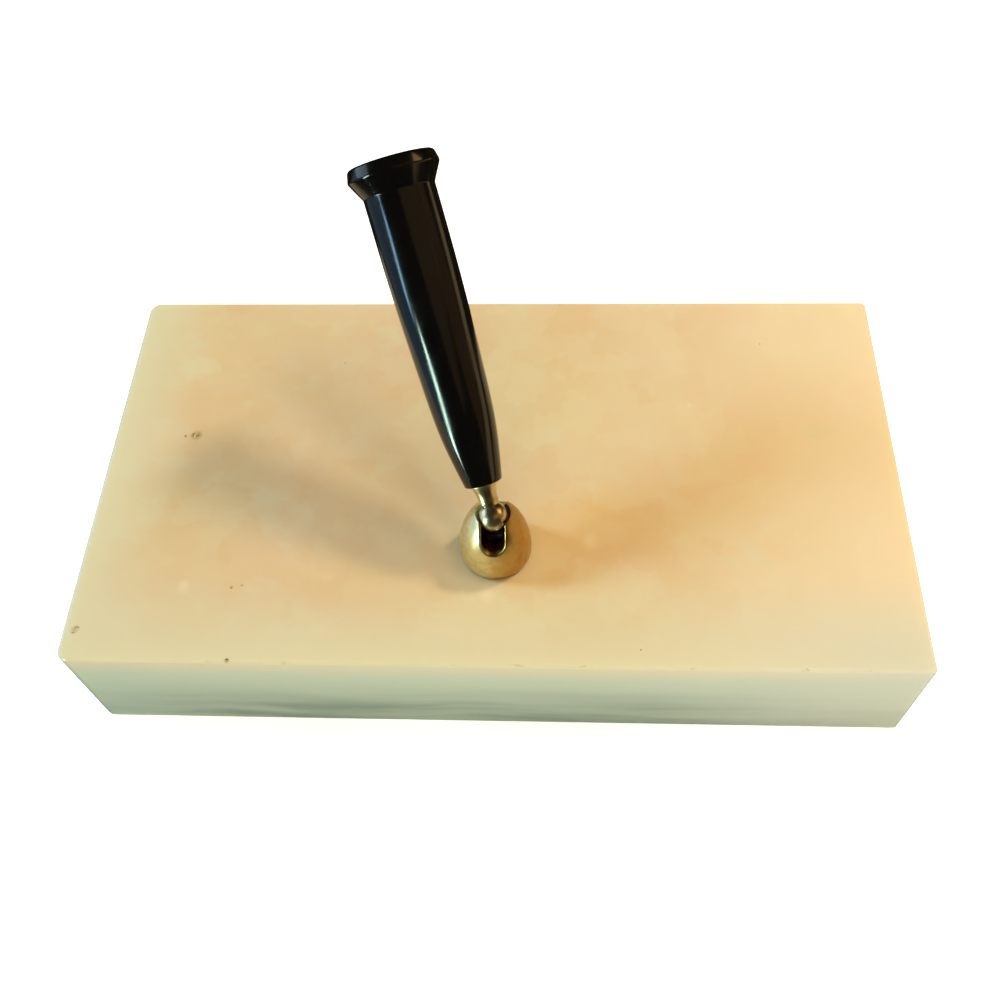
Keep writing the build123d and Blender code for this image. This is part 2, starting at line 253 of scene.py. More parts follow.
class FunnelSettings(bpy.types.PropertyGroup):
    """The black funnel's finish."""

    turns: IntProperty(name="Turns", description="Facets round the funnel", default=144, min=24, max=512)
    black: colour_setting("Black", "Colour of the moulded plastic", "#070809")


class StageSettings(bpy.types.PropertyGroup):
    """The floor, the lights and the camera."""

    floor: colour_setting("Floor", "Colour of the pale floor", "#F4F3F0")
    camera_place: FloatVectorProperty(
        name="Camera Place",
        description="Where the camera stands",
        default=(14.81 * MM, -155.57 * MM, 264.69 * MM),
        subtype="TRANSLATION",
        unit="LENGTH",
    )
    elevation: FloatProperty(
        name="Elevation",
        description="How far the camera looks down",
        default=radians(57.494),
        subtype="ANGLE",
        unit="ROTATION",
    )
    azimuth: FloatProperty(
        name="Azimuth",
        description="How far the camera turns to the left",
        default=radians(5.278),
        subtype="ANGLE",
        unit="ROTATION",
    )
    roll: FloatProperty(
        name="Roll",
        description="How far the camera leans",
        default=radians(-4.053),
        subtype="ANGLE",
        unit="ROTATION",
    )
    lens: FloatProperty(
        name="Lens",
        description="Focal length on a 36 mm sensor",
        default=38.762,
        subtype="DISTANCE_CAMERA",
        unit="CAMERA",
    )


class PenStandSettings(bpy.types.PropertyGroup):
    """All the pen stand's settings."""

    slab: PointerProperty(type=SlabSettings)
    metal: PointerProperty(type=MetalSettings)
    funnel: PointerProperty(type=FunnelSettings)
    stage: PointerProperty(type=StageSettings)


# --- Materials ------------------------------------------------------------------------------------


def object_place(tree, scale_mm=(1.0, 1.0, 1.0)):
    """The point on the piece, counted in steps of so many millimetres along X, Y and Z."""
    place = add_node(tree, "ShaderNodeTexCoord").outputs["Object"]
    scale = tuple(1 / (step * MM) for step in scale_mm)
    mapping = add_node(tree, "ShaderNodeMapping", {"Vector": place, "Scale": scale})
    return mapping.outputs["Vector"]


def grain(tree, size_mm, detail=2.0, roughness=0.5, distortion=0.0):
    """Cloudy noise whose blobs are about that many millimetres along X, Y and Z."""
    size = size_mm if isinstance(size_mm, tuple) else (size_mm,) * 3
    cloud = add_node(
        tree,
        "ShaderNodeTexNoise",
        {
            "Vector": object_place(tree, size),
            "Scale": 1.0,
            "Detail": detail,
            "Roughness": roughness,
            "Distortion": distortion,
        },
    )
    return cloud.outputs["Fac"]


def ramp(tree, value, low, high, to_low=0.0, to_high=1.0):
    """A smooth step of a value from one level to another."""
    step = add_node(
        tree,
        "ShaderNodeMapRange",
        {"Value": value, "From Min": low, "From Max": high, "To Min": to_low, "To Max": to_high},
        interpolation_type="SMOOTHSTEP",
    )
    return step.outputs["Result"]


def mix(tree, factor, first, second):
    """A blend of two colours."""
    node = add_node(tree, "ShaderNodeMix", data_type="RGBA")
    for index, value in ((0, factor), (6, first), (7, second)):
        if isinstance(value, bpy.types.NodeSocket):
            tree.links.new(value, node.inputs[index])
        elif index == 0:
            node.inputs[0].default_value = value
        else:
            node.inputs[index].default_value = rgba(value)
    return node.outputs[2]


def times(tree, first, second):
    """A product of two values."""
    return add_node(tree, "ShaderNodeMath", {0: first, 1: second}, operation="MULTIPLY").outputs[0]


def vector_math(tree, operation, inputs, output="Vector"):
    """The result of an operation on vectors."""
    return add_node(tree, "ShaderNodeVectorMath", inputs, operation=operation).outputs[output]


def parts_of(tree, vector):
    """The X, Y and Z of a vector."""
    return add_node(tree, "ShaderNodeSeparateXYZ", {0: vector}).outputs


def within(tree, place, centre_mm, size_mm, turn=0.0):
    """A place as seen from the middle of an ellipsoid, whose surface is 1 away."""
    inside = add_node(
        tree,
        "ShaderNodeMapping",
        {"Vector": place, "Location": centre_mm, "Rotation": (0, 0, turn), "Scale": size_mm},
        vector_type="TEXTURE",
    )
    return inside.outputs[0]


def stirred(tree, size_mm, reach_mm):
    """The point on the piece in millimetres, carried off up to half the reach by noise of that size."""
    place = object_place(tree, (size_mm,) * 3)
    stir = add_node(tree, "ShaderNodeTexNoise", {"Vector": place, "Scale": 1.0, "Detail": 3.0})
    middle = vector_math(tree, "SUBTRACT", {0: stir.outputs["Color"], 1: (0.5, 0.5, 0.5)})
    shift = vector_math(tree, "SCALE", {0: middle, "Scale": reach_mm})
    return vector_math(tree, "ADD", {0: object_place(tree), 1: shift})


def patch(tree, centre_mm, size_mm, turn=0.0, ragged=0.0):
    """A soft round or oval patch in the stone, 1 in the middle and 0 outside it."""
    place = stirred(tree, 18.0, ragged) if ragged else object_place(tree)
    inside = within(tree, place, centre_mm, size_mm, turn)
    return ramp(tree, vector_math(tree, "LENGTH", {0: inside}, "Value"), 1.0, 0.0)


def crystals(tree, size_mm):
    """A random level for each crystal of about that size, with blurred and wavy bounds."""
    cells = add_node(
        tree,
        "ShaderNodeTexVoronoi",
        {"Vector": stirred(tree, size_mm / 2, size_mm), "Scale": 1 / size_mm, "Smoothness": 0.35},
        feature="SMOOTH_F1",
    )
    return parts_of(tree, cells.outputs["Color"])[0]


def bump(tree, height, strength, distance_mm):
    """A bump from a height pattern."""
    node = add_node(
        tree, "ShaderNodeBump", {"Height": height, "Strength": strength, "Distance": distance_mm * MM}
    )
    return node.outputs["Normal"]


def onyx_clouds(tree, colours):
    """The stone's warm tones as seen from above, with painted amber shadow beside the dome."""
    # Clouds some 60 mm wide, and softer ones a third as wide inside them
    clouds = ramp(tree, grain(tree, (66.0, 48.0, 20.0), detail=1.0), 0.35, 0.65)
    colour = mix(tree, clouds, colours.honey, colours.beige)
    swirls = ramp(tree, grain(tree, (24.0, 17.0, 10.0), detail=2.0), 0.4, 0.8)
    colour = mix(tree, times(tree, swirls, 0.35), colour, colours.amber)
    for tone, place, size, turn, ragged, strength in TONE_AND_SHADOW_PATCHES:
        spot = patch(tree, (*place, SLAB_TOP), size, radians(turn), ragged)
        colour = mix(tree, times(tree, spot, strength), colour, getattr(colours, tone))
    # Crystals 16 mm across and, inside them, others of 7 mm, that differ a little in tone
    for size, strength in ((16.0, 0.34), (7.0, 0.16)):
        tone = mix(tree, crystals(tree, size), colours.tan, colours.cream)
        colour = mix(tree, strength, colour, tone)
    return colour


def onyx_margins(tree, colours, colour, across, back, right):
    """The paler margins of the top face, where light comes in from the side."""
    left = ramp(tree, across, SLAB_LEFT + 24.0, SLAB_LEFT - 4.0)
    colour = mix(tree, left, colour, colours.cream)
    front = ramp(tree, back, SLAB_FRONT + 26.0, SLAB_FRONT - 4.0)
    colour = mix(tree, front, colour, colours.cream)
    colour = mix(tree, times(tree, right, 0.8), colour, colours.blush)
    corner = times(tree, ramp(tree, back, SLAB_FRONT + 30.0, SLAB_FRONT), right)
    return mix(tree, times(tree, corner, 0.95), colour, colours.pearl)


def onyx_layers(tree, colours, colour, across, height, right):
    """Wavy layers down the sides, some 3 mm apart, that show only below the top face."""
    waves = add_node(
        tree,
        "ShaderNodeMapping",
        {"Vector": stirred(tree, 40.0, 9.0), "Scale": (1 / 60, 1 / 60, 1 / 6)},
    )
    sheets = add_node(
        tree,
        "ShaderNodeTexNoise",
        {"Vector": waves.outputs[0], "Scale": 1.0, "Detail": 3.0, "Roughness": 0.45},
    )
    layers = ramp(tree, sheets.outputs["Fac"], 0.3, 0.7, 0.5, 1.0)
    depth = ramp(tree, height, SLAB_TOP - 0.3, SLAB_TOP - 9.0)
    # Painted light in part: the grey green below the top face, and more of it towards the left end, stands
    # partly for the cool window's tint on the sides
    colour = mix(tree, times(tree, depth, 0.85), colour, colours.sage)
    sawn_end = ramp(tree, across, SLAB_LEFT + 2.5, SLAB_LEFT + 0.2)
    colour = mix(tree, times(tree, sawn_end, 0.7), colour, colours.pearl)
    deep = ramp(tree, height, SLAB_TOP - 6.0, SLAB_FOOT + 4.0)
    colour = mix(tree, times(tree, deep, layers), colour, colours.slate)
    ends = ramp(tree, across, SLAB_LEFT + 36.0, SLAB_LEFT, 0.0, 0.5)
    colour = mix(tree, times(tree, depth, ends), colour, colours.sage)
    return mix(tree, times(tree, times(tree, depth, right), 0.6), colour, colours.pearl)


def onyx_marks(tree, colours, colour, height):
    """Wisps a centimetre long that gather in places, pale crystals, and iron stains round the pits."""
    wisps = ramp(tree, grain(tree, (11.0, 8.0, 5.0), detail=2.0), 0.54, 0.68)
    gathered = ramp(tree, grain(tree, 34.0, detail=1.0), 0.48, 0.62)
    flat = ramp(tree, height, SLAB_TOP - 3.0, SLAB_TOP - 0.5)
    wisps = times(tree, times(tree, wisps, gathered), times(tree, flat, 0.35))
    colour = mix(tree, wisps, colour, colours.cream)
    for place, size, strength in PALE_SPOTS:
        spot = patch(tree, (*place, SLAB_TOP), (size, size * 1.3, size * 1.3))
        colour = mix(tree, times(tree, spot, strength), colour, colours.blush)
    for place, size, strength in STAINS:
        spot = patch(tree, (*place, SLAB_TOP), (size, size, size), ragged=3.0)
        colour = mix(tree, times(tree, spot, strength), colour, colours.stain)
    return colour


def polished_onyx(colours):
    """Onyx, sawn and polished: layered translucent calcite, so light goes a few millimetres in and
    comes out softened, over honey clouds seen from above and grey green layers seen from the side."""
    material, tree, shader = new_material("polished_onyx")
    across, back, height = parts_of(tree, object_place(tree))
    # The stone pales over its right two fifths, on the top and on the sides
    right = ramp(tree, across, SLAB_RIGHT - 80.0, SLAB_RIGHT + 5.0)
    colour = onyx_clouds(tree, colours)
    colour = onyx_margins(tree, colours, colour, across, back, right)
    colour = onyx_layers(tree, colours, colour, across, height, right)
    colour = onyx_marks(tree, colours, colour, height)
    tree.links.new(colour, shader.inputs["Base Color"])
    # A hand polish: even gloss with slightly duller clouds
    haze = ramp(tree, grain(tree, 6.0, detail=2.0), 0.3, 0.7, 0.14, 0.22)
    tree.links.new(haze, shader.inputs["Roughness"])
    shader.inputs["IOR"].default_value = 1.56
    shader.inputs["Subsurface Weight"].default_value = 0.35
    shader.inputs["Subsurface Radius"].default_value = (1.0, 0.85, 0.6)
    shader.inputs["Subsurface Scale"].default_value = 6.0 * MM
    ripple = grain(tree, 9.0, detail=1.0)
    tree.links.new(bump(tree, ripple, 0.2, 0.08), shader.inputs["Normal"])
    return material


def pit_filling(colours):
    """Weathered iron stain: the matt, crumbly filling of a pit."""
    material, tree, shader = new_material("iron_stained_pit")
    crumbs = ramp(tree, grain(tree, 0.5, detail=3.0), 0.35, 0.65)
    tree.links.new(mix(tree, crumbs, colours.stain, colours.honey), shader.inputs["Base Color"])
    shader.inputs["Roughness"].default_value = 0.8
    return material


def satin_brass(colours, dome):
    """Brass, tumbled and lacquered: a soft satin with a fine blasted grain, pale on the left partly from
    wear by hands and partly as a painted sheen of the light from that side, browner on the right, and
    dark inside the slot with tarnished brass and painted shade."""
    material, tree, shader = new_material("satin_lacquered_brass")
    # The dome's outside is half an ellipsoid that stands a little above its foot
    above_foot, wide, tall = 1.7, 8.7, 16.7
    middle = Vector((BALL_CENTRE.x, BALL_CENTRE.y, DOME_FOOT + above_foot * MM))
    middle = dome.matrix_world.inverted() @ middle / MM
    inward = within(tree, object_place(tree), middle, (wide, wide, tall))
    cloud = times(tree, grain(tree, 5.0, detail=3.0), 0.35)
    # Painted sheen: the dome pales towards its left, partly wear from hands and partly painted light from
    # that side
    across = parts_of(tree, inward)[0]
    ragged = add_node(tree, "ShaderNodeMath", {0: cloud, 1: across}, operation="ADD").outputs[0]
    colour = mix(tree, ramp(tree, ragged, 0.45, -0.15), colours.brass, colours.rubbed)
    worn = ramp(tree, grain(tree, 1.6, detail=5.0, roughness=0.65), 0.38, 0.7)
    dull = tuple(c * f for c, f in zip(colours.brass, (0.86, 0.72, 0.5)))
    colour = mix(tree, times(tree, worn, 0.35), colour, dull)
    # Painted shade: the slot's inner walls go dark, partly tarnished brass and partly shade in the recess
    away = vector_math(tree, "LENGTH", {0: inward}, "Value")
    colour = mix(tree, ramp(tree, away, 0.93, 0.85), colour, colours.tarnish_and_shade)
    tree.links.new(colour, shader.inputs["Base Color"])
    shader.inputs["Metallic"].default_value = 1.0
    tree.links.new(ramp(tree, worn, 0.0, 1.0, 0.30, 0.42), shader.inputs["Roughness"])
    # The grain is near 0.1 mm on the real dome and drawn at 0.25 mm so that it shows
    peen = grain(tree, 0.25, detail=2.0)
    tree.links.new(bump(tree, peen, 0.35, 0.02), shader.inputs["Normal"])
    return material


def turned_nickel_silver(colour):
    """Nickel silver, turned and buffed: bright, with faint rings left by the tool, dulled by handling."""
    material, tree, shader = new_material("turned_nickel_silver")
    smear = ramp(tree, grain(tree, 1.8, detail=4.0), 0.35, 0.7)
    dull = tuple(c * f for c, f in zip(colour, (0.72, 0.66, 0.55)))
    tree.links.new(mix(tree, times(tree, smear, 0.6), colour, dull), shader.inputs["Base Color"])
    shader.inputs["Metallic"].default_value = 1.0
    tree.links.new(ramp(tree, smear, 0.0, 1.0, 0.28, 0.38), shader.inputs["Roughness"])
    marks_apart = 0.3
    along = vector_math(tree, "DOT_PRODUCT", {0: object_place(tree), 1: tuple(FUNNEL_AXIS)}, "Value")
    phase = times(tree, along, 2 * pi / marks_apart)
    rings = add_node(tree, "ShaderNodeMath", {0: phase}, operation="SINE").outputs[0]
    tree.links.new(bump(tree, rings, 0.25, 0.012), shader.inputs["Normal"])
    return material


def polished_phenolic(colour):
    """Black phenolic, moulded and polished: deep black with a wet gloss, rubbed dull clouds and dust."""
    material, tree, shader = new_material("polished_black_phenolic")
    specks = ramp(tree, grain(tree, 0.35, detail=2.0), 0.74, 0.8)
    dust = linear("#55534D")
    tree.links.new(mix(tree, times(tree, specks, 0.5), colour, dust), shader.inputs["Base Color"])
    rub = ramp(tree, grain(tree, (6.0, 6.0, 14.0), detail=4.0, roughness=0.6), 0.4, 0.75, 0.13, 0.22)
    tree.links.new(rub, shader.inputs["Roughness"])
    shader.inputs["IOR"].default_value = 1.48
    wave = grain(tree, 5.0, detail=2.0)
    tree.links.new(bump(tree, wave, 0.12, 0.06), shader.inputs["Normal"])
    return material


def pressed_felt(name, colour_hex):
    """Wool felt, pressed and glued: matt and fuzzy, with fibres a few tenths of a millimetre apart."""
    material, tree, shader = new_material(name)
    colour = linear(colour_hex)
    fibre = grain(tree, 0.4, detail=4.0, roughness=0.7, distortion=1.0)
    pale = tuple(min(1.0, c * 1.9 + 0.01) for c in colour)
    tree.links.new(mix(tree, ramp(tree, fibre, 0.35, 0.7), colour, pale), shader.inputs["Base Color"])
    shader.inputs["Roughness"].default_value = 0.95
    shader.inputs["Sheen Weight"].default_value = 0.4
    tree.links.new(bump(tree, fibre, 0.8, 0.15), shader.inputs["Normal"])
    return material


def machined_metal(name, colour_hex, roughness, grain_mm):
    """Plain turned or plated metal for the fittings: an even sheen broken by fine tool marks."""
    material, tree, shader = new_material(name)
    colour = linear(colour_hex)
    marks = grain(tree, (grain_mm, grain_mm, grain_mm / 4), detail=3.0)
    shade = tuple(c * 0.7 for c in colour)
    tree.links.new(mix(tree, ramp(tree, marks, 0.3, 0.7), shade, colour), shader.inputs["Base Color"])
    shader.inputs["Metallic"].default_value = 1.0
    shader.inputs["Roughness"].default_value = roughness
    tree.links.new(bump(tree, marks, 0.3, 0.02), shader.inputs["Normal"])
    return material


def moulded_plastic(name, colour_hex, roughness, texture_mm):
    """Plain moulded plastic or fibre for the inner pieces: even colour with a fine skin texture."""
    material, tree, shader = new_material(name)
    colour = linear(colour_hex)
    skin = grain(tree, texture_mm, detail=3.0)
    shade = tuple(c * 0.75 for c in colour)
    tree.links.new(mix(tree, ramp(tree, skin, 0.3, 0.7), shade, colour), shader.inputs["Base Color"])
    shader.inputs["Roughness"].default_value = roughness
    tree.links.new(bump(tree, skin, 0.3, 0.02), shader.inputs["Normal"])
    return material


# --- Marks on the slab, in millimetres from its middle --------------------------------------------

# Soft patches of another tone, some of them painted shadow: tone, place on the top face, reach along X,
# Y and Z, turn in degrees, how far their bounds wander, strength
TONE_AND_SHADOW_PATCHES = (
    # Partly a deeper amber in the stone, partly painted shadow along the funnel's shadow from the window
    ("amber", (58.0, -2.0), (62.0, 22.0, 30.0), 26, 22.0, 0.2),
    # Painted shadow: amber shade beside the dome, where the dome blocks the cool window
    ("amber", (24.0, -16.0), (22.0, 14.0, 14.0), 20, 8.0, 0.9),
    # Darker tan on the stone left of the dome, beside the funnel's shadow
    ("tan", (-72.0, -16.0), (34.0, 20.0, 20.0), 10, 14.0, 0.7),
)
# Pits: place on the top face, width, length, depth
PITS = (
    ((-79.8, 9.1), 1.7, 2.6, 0.55),
    ((-82.6, 8.7), 0.6, 0.8, 0.3),
    ((-98.2, -47.4), 0.6, 1.3, 0.4),
    ((-98.8, -48.8), 0.5, 0.8, 0.35),
    ((-60.7, -55.2), 0.7, 0.9, 0.5),
    ((-62.7, -36.4), 0.35, 0.5, 0.3),
    ((-60.4, -35.6), 0.3, 0.9, 0.2),
    ((-42.7, 33.7), 0.45, 0.45, 0.3),
    ((35.1, -51.2), 0.45, 0.45, 0.35),
    ((70.9, 40.5), 0.4, 0.4, 0.25),
)
# Iron stains round some pits: place, reach, strength
STAINS = (
    ((-79.8, 9.1), 2.2, 0.6),
    ((-98.4, -48.0), 1.5, 0.5),
    ((-60.7, -55.2), 1.0, 0.5),
    ((-62.7, -36.4), 0.8, 0.4),
)
# Pale crystals just under the polish: place, reach, strength
PALE_SPOTS = (
    ((23.8, -22.4), 2.6, 0.4),
    ((-0.9, -37.8), 2.4, 0.35),
    ((-74.7, -36.0), 2.2, 0.4),
    ((50.6, 19.5), 0.9, 0.45),
    ((96.8, 52.1), 4.0, 0.4),
)
# Chips along the front top edge: place along the edge, length, depth
EDGE_CHIPS = (
    (-66.0, 2.2, 0.30),
    (-47.5, 1.6, 0.35),
    (-8.0, 2.6, 0.30),
    (6.5, 4.0, 0.45),
    (22.0, 2.0, 0.40),
    (47.0, 3.0, 0.30),
    (72.0, 2.4, 0.45),
    (86.5, 1.6, 0.35),
)
# The nut's recess and the stud's hole, as the frame's node has them: radius, then the heights of both
# ends above the desk
SLAB_HOLES = ((11.0, -2.0, 15.5), (3.75, 10.0, 38.0))


# --- Pieces ---------------------------------------------------------------------------------------


def rough_ball(bm, place, size, seed):
    """Adds a lumpy ball of that width, depth and height to a cutter."""
    made = bmesh.ops.create_icosphere(bm, subdivisions=3, radius=1.0)
    offset = Vector((seed * 3.7, seed * 1.9, seed * 5.3))
    for vert in made["verts"]:
        lump = 1.0 + 0.35 * noise.noise(vert.co * 1.8 + offset)
        vert.co = Vector(place) + Vector(s * c for s, c in zip(size, vert.co)) * lump


def cut(piece, cutter):
    """Takes a cutter mesh out of a piece for good, and removes the cutter."""
    modifier = piece.modifiers.new("cut", "BOOLEAN")
    modifier.operation = "DIFFERENCE"
    modifier.solver = "EXACT"
    modifier.material_mode = "TRANSFER"
    modifier.object = cutter
    bpy.context.view_layer.update()
    shaped = piece.evaluated_get(bpy.context.evaluated_depsgraph_get())
    mesh = bpy.data.meshes.new_from_object(shaped)
    piece.modifiers.remove(modifier)
    piece.data = mesh
    bpy.data.objects.remove(cutter)


def slab_block(settings):
    """The sawn block with its rounded uprights, its rounded top edges and its bevelled bottom edges."""
    bm = bmesh.new()
    bmesh.ops.create_cube(bm, size=1.0)
    middle = (SLAB_LOW + SLAB_HIGH) / 2
    span = SLAB_HIGH - SLAB_LOW
    for vert in bm.verts:
        vert.co = middle + Vector(s * c for s, c in zip(span, vert.co))
    uprights = [e for e in bm.edges if abs(e.verts[0].co.z - e.verts[1].co.z) > span.z / 2]
    for side, radius in ((-1, settings.left_corner), (1, settings.right_corner)):
        edges = [e for e in uprights if e.is_valid and e.verts[0].co.x * side > 0]
        bmesh.ops.bevel(bm, geom=edges, offset=radius, segments=8, profile=0.5, affect="EDGES")
    top = [e for e in bm.edges if all(abs(v.co.z - SLAB_HIGH.z) < 1e-6 for v in e.verts)]
    bmesh.ops.bevel(bm, geom=top, offset=settings.top_edge, segments=5, profile=0.5, affect="EDGES")
    bottom = [e for e in bm.edges if all(abs(v.co.z - SLAB_LOW.z) < 1e-6 for v in e.verts)]
    bmesh.ops.bevel(bm, geom=bottom, offset=settings.bottom_edge, segments=1, profile=0.5, affect="EDGES")
    return bm


def weighted_normals(piece):
    """Keeps large flat faces flat next to their rounded edges."""
    modifier = piece.modifiers.new("flat faces", "WEIGHTED_NORMAL")
    modifier.keep_sharp = True
    modifier.weight = 50


def dress(node, material):
    """Gives a CAD node that stays its finish."""
    for slot in frame["nodes"][node].material_slots:
        slot.material = material


class PENSTAND_OT_slab(bpy.types.Operator):
    """Build the onyx slab with its pits and chips"""

    bl_idname = "penstand.slab"
    bl_label = "Onyx Slab"

    def execute(self, context):
        settings = context.scene.pen_stand.slab
        onyx = polished_onyx(settings)
        slab = finish_mesh(slab_block(settings), "onyx_slab", onyx)
        bm = bmesh.new()
        for radius, low, high in SLAB_HOLES:
            middle = Vector((BALL_CENTRE.x, BALL_CENTRE.y, (low + high) / 2 * MM))
            bmesh.ops.create_cone(
                bm,
                cap_ends=True,
                segments=96,
                radius1=radius * MM,
                radius2=radius * MM,
                depth=(high - low) * MM,
                matrix=Matrix.Translation(middle),
            )
        cut(slab, finish_mesh(bm, "recess_cutter", onyx))
        bm = bmesh.new()
        for seed, (place, width, length, depth) in enumerate(PITS):
            spot = (place[0] * MM, place[1] * MM, SLAB_HIGH.z + 0.15 * depth * MM)
            rough_ball(bm, spot, (length / 2 * MM, width / 2 * MM, depth * MM), seed)
        cut(slab, finish_mesh(bm, "pit_cutter", pit_filling(settings)))
        bm = bmesh.new()
        for seed, (along, length, depth) in enumerate(EDGE_CHIPS, start=20):
            spot = (along * MM, SLAB_LOW.y - 0.1 * MM, SLAB_HIGH.z + 0.1 * MM)
            reach = (depth + 0.35) * MM
            rough_ball(bm, spot, (length / 2 * MM, reach, reach), seed)
        cut(slab, finish_mesh(bm, "chip_cutter", onyx))
        slab.data.shade_smooth()
        slab.data.set_sharp_from_angle(angle=radians(32))
        weighted_normals(slab)
        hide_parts("stone_base")
        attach(slab, "base")
        return {"FINISHED"}


class PENSTAND_OT_feet(bpy.types.Operator):
    """Build the four felt pads under the slab"""

    bl_idname = "penstand.feet"
    bl_label = "Felt Feet"

    def execute(self, context):
        felt = pressed_felt("pressed_green_felt", "#2E3A2B")
        for corner in ("front_left", "front_right", "rear_left", "rear_right"):
            low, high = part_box("felt_foot_" + corner)
            middle = (low + high) / 2
            radius = (high.x - low.x) / 2 / MM
            top = (high.z - low.z) / MM
            # The cut side curls in at both ends and frays by up to 0.22 mm
            edge, curl = radius - 0.12, 0.35
            side = [(edge, 0.05), (radius, curl), (radius, top - curl), (edge, top)]
            bm = lathe([(0, 0.0), (radius * 0.6, 0.0), *side, (radius * 0.6, top), (0, top)], 72)
            for vert in bm.verts:
                away = Vector((vert.co.x, vert.co.y, 0))
                if away.length > (radius - 1) * MM:
                    fuzz = noise.noise(vert.co / (0.9 * MM) + middle * 40)
                    vert.co -= away.normalized() * abs(fuzz) * 0.22 * MM
                vert.co += Vector((middle.x, middle.y, low.z))
            pad = finish_mesh(bm, "felt_pad_" + corner, felt, 60.0)
            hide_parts("felt_foot_" + corner)
            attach(pad, "base")
        return {"FINISHED"}


class PENSTAND_OT_dome(bpy.types.Operator):
    """Finish the slotted dome and the gasket it turns on"""

    bl_idname = "penstand.dome"
    bl_label = "Swivel Dome"

    def execute(self, context):
        metal = context.scene.pen_stand.metal
        dress("swivel_dome", satin_brass(metal, frame["nodes"]["swivel_dome"]))
        dress("dome_gasket", moulded_plastic("vulcan_fibre", "#3A241A", 0.7, 0.4))
        return {"FINISHED"}


class PENSTAND_OT_ball_stud(bpy.types.Operator):
    """Turn the ball stud with its waisted neck, flange and riveted shank"""

    bl_idname = "penstand.ball_stud"
    bl_label = "Ball Stud"

    def execute(self, context):
        settings = context.scene.pen_stand
        # Radii and heights in millimetres from the middle of the ball
        ball, root, neck, neck_low, neck_high = 3.6, 2.075, 2.3, 3.7, 4.2
        flare, flange, flange_low, flange_high = 3.1, 3.45, 7.9, 8.3
        shank, head, head_low, head_side, head_top = 1.8, 2.6, 11.9, 12.2, 13.0
        rise = flange_low - neck_high
        bend = ((flare - neck) ** 2 + rise**2) / (2 * (flare - neck))
        drop = head_top - head_side
        dome = (head**2 + drop**2) / (2 * drop)
        outline = [
            *arc((0, 0), ball, -90, degrees(acos(root / ball)), 48),
            (neck, neck_low),
            *arc((neck + bend, neck_high), bend, 180, 180 - degrees(asin(rise / bend)), 16),
            *rounded(
                [
                    (flare, flange_low, 0),
                    (flange, flange_low, 0.1),
                    (flange, flange_high, 0.1),
                    (shank, flange_high, 0),
                    (shank, head_low, 0),
                    (head, head_low, 0.08),
                    (head, head_side, 0),
                ]
            )[1:-1],
            *arc((0, head_top - dome), dome, degrees(acos(head / dome)), 90, 10),
        ]
        bm = lathe(outline, settings.metal.turns)
        bm.transform(STUD_PLACE)
        stud = finish_mesh(bm, "turned_ball_stud", turned_nickel_silver(settings.metal.nickel))
        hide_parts("ball_stud")
        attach(stud, "ball")
        return {"FINISHED"}


class PENSTAND_OT_funnel(bpy.types.Operator):
    """Build the black pen funnel and finish its liner"""

    bl_idname = "penstand.funnel"
    bl_label = "Pen Funnel"

    def execute(self, context):
        settings = context.scene.pen_stand.funnel
        # Heights along the stud's axis from the middle of the ball, then radii
        low, high, crease, band, mouth, step, floor = 8.3, 82.3, 75.5, 79.6, 76.8, 40.8, 11.3
        hole, foot, neck, rim, rim_top, flare = 1.88, 4.43, 8.1, 10.4, 9.725, 8.9
        liner_seat, chamber_top, chamber_low = 6.55, 5.9, 3.5
        body = fair_curve([(foot, low), (6.56, 21.0), (7.35, 33.6), (7.85, 46.8), (neck, crease)], 48)
        outline = rounded(
            [
                (hole, low, 0),
                (foot, low, 0.35),
                *[(radius, height, 0) for radius, height in body[1:-1]],
                (neck, crease, 0.5),
                (rim, band, 0.9),
                (rim_top, high, 0.9),
                (flare, high, 0.15),
                (liner_seat, mouth, 0.3),
                (liner_seat, step, 0),
                (chamber_top, step, 0),
                (chamber_low, floor, 0.4),
                (hole, floor, 0),
            ]
        )
        bm = lathe(outline, settings.turns, closed=True)
        bm.transform(STUD_PLACE)
        phenolic = polished_phenolic(settings.black)
        funnel = finish_mesh(bm, "moulded_funnel", phenolic, 35.0)
        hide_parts("pen_funnel")
        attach(funnel, "funnel")
        dress("pen_liner", moulded_plastic("black_liner_plastic", "#101112", 0.45, 0.5))
        return {"FINISHED"}


def threaded_rod(radius, low, high, pitch):
    """A rod along Z, in metres, with a screw thread along its whole length and a bevel at both ends."""
    turns, per_pitch = 40, 6
    bevel, depth = 0.6 * pitch, 0.6 * pitch
    rows = round((high - low) / pitch * per_pitch)
    bm = bmesh.new()
    rings = []
    for row in range(rows + 1):
        height = low + (high - low) * row / rows
        end = radius - max(0.0, bevel - min(height - low, high - height))
        ring = []
        for i in range(turns):
            across = ((height - low) / pitch - i / turns) % 1.0
            flank = min(1.0, max(0.0, 3.2 * abs(across - 0.5) - 0.35))
            reach = min(end, radius - depth * (1.0 - flank))
            angle = 2 * pi * i / turns
            ring.append(bm.verts.new((reach * cos(angle), reach * sin(angle), height)))
        rings.append(ring)
    for lower, upper in zip(rings, rings[1:]):
        for i in range(turns):
            bm.faces.new((lower[i], lower[(i + 1) % turns], upper[(i + 1) % turns], upper[i]))
    bm.faces.new(rings[0])
    bm.faces.new(rings[-1])
    bmesh.ops.recalc_face_normals(bm, faces=bm.faces)
    return bm


